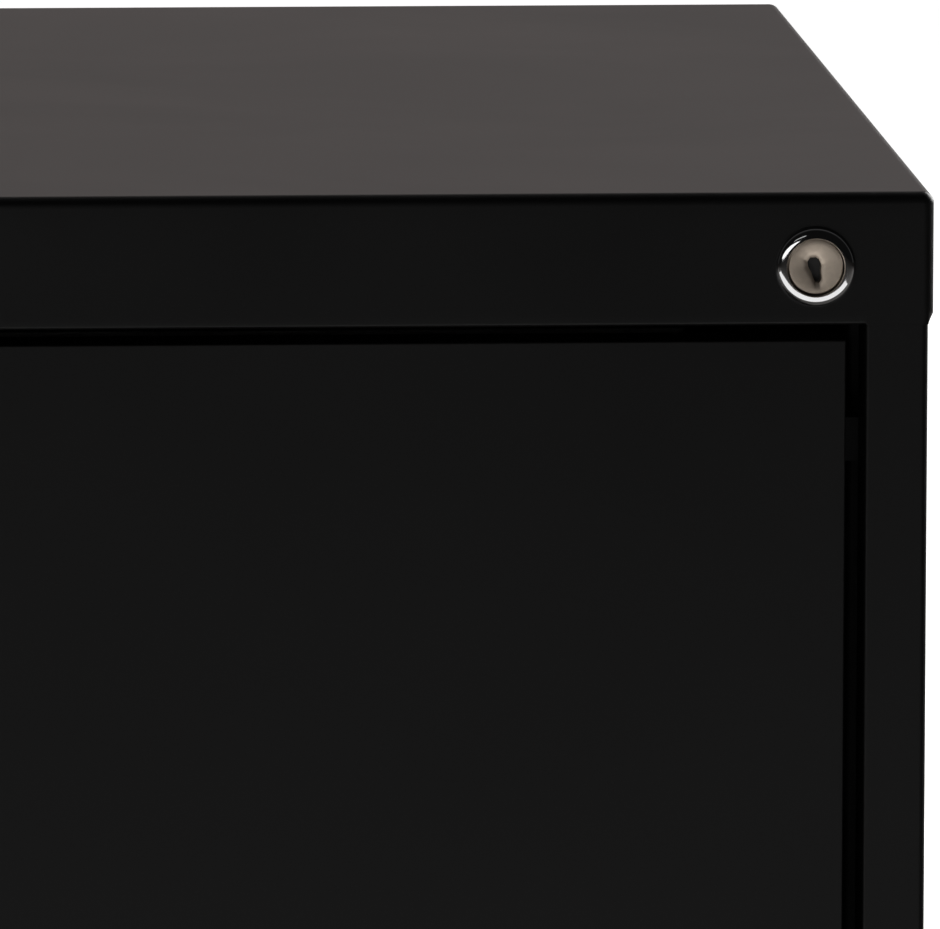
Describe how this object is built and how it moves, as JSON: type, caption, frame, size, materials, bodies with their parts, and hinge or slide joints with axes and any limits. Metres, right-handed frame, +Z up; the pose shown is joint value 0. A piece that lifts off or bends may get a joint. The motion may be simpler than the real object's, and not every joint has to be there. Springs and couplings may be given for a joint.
{
  "type": "lateral filing cabinet",
  "caption": "Black powder-coated steel lateral filing cabinet with sliding drawers, bowed pulls, label holders and a chrome cam lock in the fascia of its top cap.",
  "frame": {"origin": "on the floor, under the middle of the whole cabinet with its pulls", "axes": "+Z up; the drawers open towards -Y; +X is the cabinet's right seen from the front, the side with the lock"},
  "size_m": [0.914, 0.483, 0.711],
  "materials": {
    "black_powder_coat": "smooth black powder coat, low sheen",
    "dark_inner_paint": "thin dark paint, satin",
    "bright_zinc": "bright zinc plate on rolled steel",
    "cast_iron_paint": "rough, painted",
    "chrome": "mirror polished",
    "satin_nickel": "satin nickel plate",
    "black_nylon": "moulded nylon",
    "white_card": "plain blank card"
  },
  "bodies": {
    "case": {"top_cap": "black_powder_coat", "side_panel_left": "black_powder_coat", "side_panel_right": "black_powder_coat", "back_panel": "black_powder_coat", "bottom_pan": "dark_inner_paint", "base_rail": "black_powder_coat", "cross_rail": "dark_inner_paint", "top_rail": "dark_inner_paint", "counterweight": "cast_iron_paint", "upright_front_left": "dark_inner_paint", "upright_front_right": "dark_inner_paint", "upright_rear_left": "dark_inner_paint", "upright_rear_right": "dark_inner_paint", "glide_front_left": "black_nylon", "glide_front_right": "black_nylon", "glide_rear_left": "black_nylon", "glide_rear_right": "black_nylon", "lock_housing": "chrome", "lock_nut": "bright_zinc", "upper_slide_fixed_left": "bright_zinc", "upper_slide_fixed_right": "bright_zinc", "lower_slide_fixed_left": "bright_zinc", "lower_slide_fixed_right": "bright_zinc"},
    "lock": {"lock_plug": "satin_nickel", "lock_cam": "bright_zinc"},
    "lock_bar": {"lock_bar": "dark_inner_paint", "upper_lock_hook": "dark_inner_paint", "lower_lock_hook": "dark_inner_paint"},
    "upper_drawer": {"upper_front": "black_powder_coat", "upper_liner": "dark_inner_paint", "upper_tray_left": "dark_inner_paint", "upper_tray_right": "dark_inner_paint", "upper_tray_back": "dark_inner_paint", "upper_tray_bottom": "dark_inner_paint", "upper_folder_rail_front": "bright_zinc", "upper_folder_rail_rear": "bright_zinc", "upper_pull": "satin_nickel", "upper_label_holder": "satin_nickel", "upper_label_card": "white_card", "upper_lock_catch": "dark_inner_paint", "upper_slide_inner_left": "bright_zinc", "upper_slide_inner_right": "bright_zinc"},
    "upper_slide_left": {"upper_slide_middle_left": "bright_zinc"},
    "upper_slide_right": {"upper_slide_middle_right": "bright_zinc"},
    "lower_drawer": {"lower_front": "black_powder_coat", "lower_liner": "dark_inner_paint", "lower_tray_left": "dark_inner_paint", "lower_tray_right": "dark_inner_paint", "lower_tray_back": "dark_inner_paint", "lower_tray_bottom": "dark_inner_paint", "lower_folder_rail_front": "bright_zinc", "lower_folder_rail_rear": "bright_zinc", "lower_pull": "satin_nickel", "lower_label_holder": "satin_nickel", "lower_label_card": "white_card", "lower_lock_catch": "dark_inner_paint", "lower_slide_inner_left": "bright_zinc", "lower_slide_inner_right": "bright_zinc"},
    "lower_slide_left": {"lower_slide_middle_left": "bright_zinc"},
    "lower_slide_right": {"lower_slide_middle_right": "bright_zinc"}
  },
  "joints": [
    {"name": "upper_drawer_slide", "type": "slide", "parent": "case", "child": "upper_drawer", "axis": [0, -1, 0], "range_m": [0, 0.38]},
    {"name": "upper_slide_left_travel", "type": "slide", "parent": "case", "child": "upper_slide_left", "axis": [0, -1, 0], "range_m": [0, 0.19]},
    {"name": "upper_slide_right_travel", "type": "slide", "parent": "case", "child": "upper_slide_right", "axis": [0, -1, 0], "range_m": [0, 0.19]},
    {"name": "lower_drawer_slide", "type": "slide", "parent": "case", "child": "lower_drawer", "axis": [0, -1, 0], "range_m": [0, 0.38]},
    {"name": "lower_slide_left_travel", "type": "slide", "parent": "case", "child": "lower_slide_left", "axis": [0, -1, 0], "range_m": [0, 0.19]},
    {"name": "lower_slide_right_travel", "type": "slide", "parent": "case", "child": "lower_slide_right", "axis": [0, -1, 0], "range_m": [0, 0.19]},
    {"name": "lock_turn", "type": "hinge", "parent": "case", "child": "lock", "pos_m": [0.4245, -0.2155, 0.6908], "axis": [0, 1, 0], "range_deg": [0, 90]},
    {"name": "lock_bar_drop", "type": "slide", "parent": "case", "child": "lock_bar", "axis": [0, 0, -1], "range_m": [0, 0.022]}
  ],
  "couplings": [
    {"joint": "upper_slide_left_travel", "follows": "upper_drawer_slide", "ratio": 0.5},
    {"joint": "upper_slide_right_travel", "follows": "upper_drawer_slide", "ratio": 0.5},
    {"joint": "lower_slide_left_travel", "follows": "lower_drawer_slide", "ratio": 0.5},
    {"joint": "lower_slide_right_travel", "follows": "lower_drawer_slide", "ratio": 0.5},
    {"joint": "lock_turn", "follows": "lock_bar_drop", "rad_per_m": 71.39}
  ]
}
